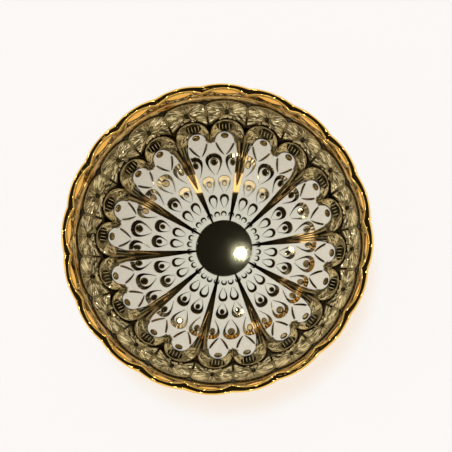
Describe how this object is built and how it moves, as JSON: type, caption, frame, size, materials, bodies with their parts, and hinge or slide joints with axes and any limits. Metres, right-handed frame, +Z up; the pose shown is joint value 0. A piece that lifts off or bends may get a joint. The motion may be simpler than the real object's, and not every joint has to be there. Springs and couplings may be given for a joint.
{
  "type": "gilded porcelain bowl",
  "caption": "Small round bowl on a foot ring, with a scalloped gilded lip, mirror gold lining and white feather panels inside; holds fruit, sweets or trinkets.",
  "frame": {"origin": "centre of the foot ring's resting face", "axes": "+Z up along the bowl's axis, +X through the middle of a white panel"},
  "size_m": [0.1192, 0.1192, 0.056],
  "materials": {
    "porcelain": "gloss",
    "gold": "polished",
    "hatched_gold": "satin",
    "enamel": "gloss"
  },
  "bodies": {
    "root": {"bowl_body": "porcelain", "foot_ring": "porcelain", "gilt_rim": "gold", "gold_lining": "gold", "centre_medallion": "gold", "white_panel_01": "enamel", "white_panel_02": "enamel", "white_panel_03": "enamel", "white_panel_04": "enamel", "white_panel_05": "enamel", "white_panel_06": "enamel", "white_panel_07": "enamel", "white_panel_08": "enamel", "white_panel_09": "enamel", "white_panel_10": "enamel", "outer_scales": "hatched_gold", "inner_scales": "hatched_gold", "tip_feathers": "gold", "middle_eyes": "gold", "lower_eyes": "gold", "horseshoe_row": "gold", "small_horseshoe_row": "gold"}
  },
  "joints": []
}
